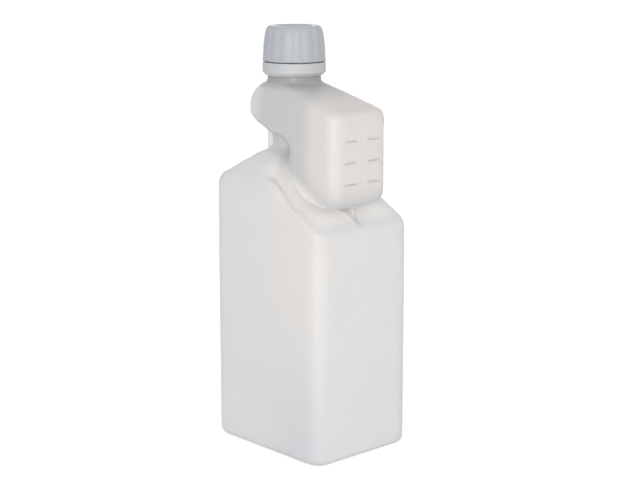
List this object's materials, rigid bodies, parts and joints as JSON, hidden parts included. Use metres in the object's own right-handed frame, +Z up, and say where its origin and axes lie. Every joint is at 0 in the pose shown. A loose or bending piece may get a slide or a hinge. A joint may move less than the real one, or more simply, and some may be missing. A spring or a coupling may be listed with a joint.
{
  "type": "dosing bottle",
  "caption": "Tall rectangular dosing bottle with a side dosing chamber moulded over its shoulder, an oval riser, a fluted screw cap and a tamper band.",
  "frame": {"origin": "centre of the base, on the surface the bottle stands on", "axes": "+Z up to the cap, +X to the end that the dosing chamber hangs over, Y across the body; the parting plane is Y = 0"},
  "size_m": [0.096, 0.077, 0.256],
  "materials": {
    "bottle_plastic": "natural translucent blow-moulded polyethylene, satin",
    "cap_plastic": "light bluish grey moulded plastic, satin",
    "band_plastic": "light bluish grey moulded plastic, satin",
    "disc_foam": "white foamed sealing sheet, matt"
  },
  "bodies": {
    "bottle": {"bottle": "bottle_plastic", "tamper_band": "band_plastic"},
    "liner": {"sealing_disc": "disc_foam"},
    "cap": {"screw_cap": "cap_plastic"}
  },
  "joints": [
    {"name": "liner_lift", "type": "slide", "parent": "bottle", "child": "liner", "axis": [0, 0, 1], "range_m": [0, 0.00525]},
    {"name": "cap_turn", "type": "hinge", "parent": "liner", "child": "cap", "pos_m": [-0.0148, 0, 0.245], "axis": [0, 0, 1], "range_deg": [0, 450]}
  ],
  "couplings": [
    {"joint": "liner_lift", "follows": "cap_turn", "m_per_rad": 0.00066845}
  ]
}
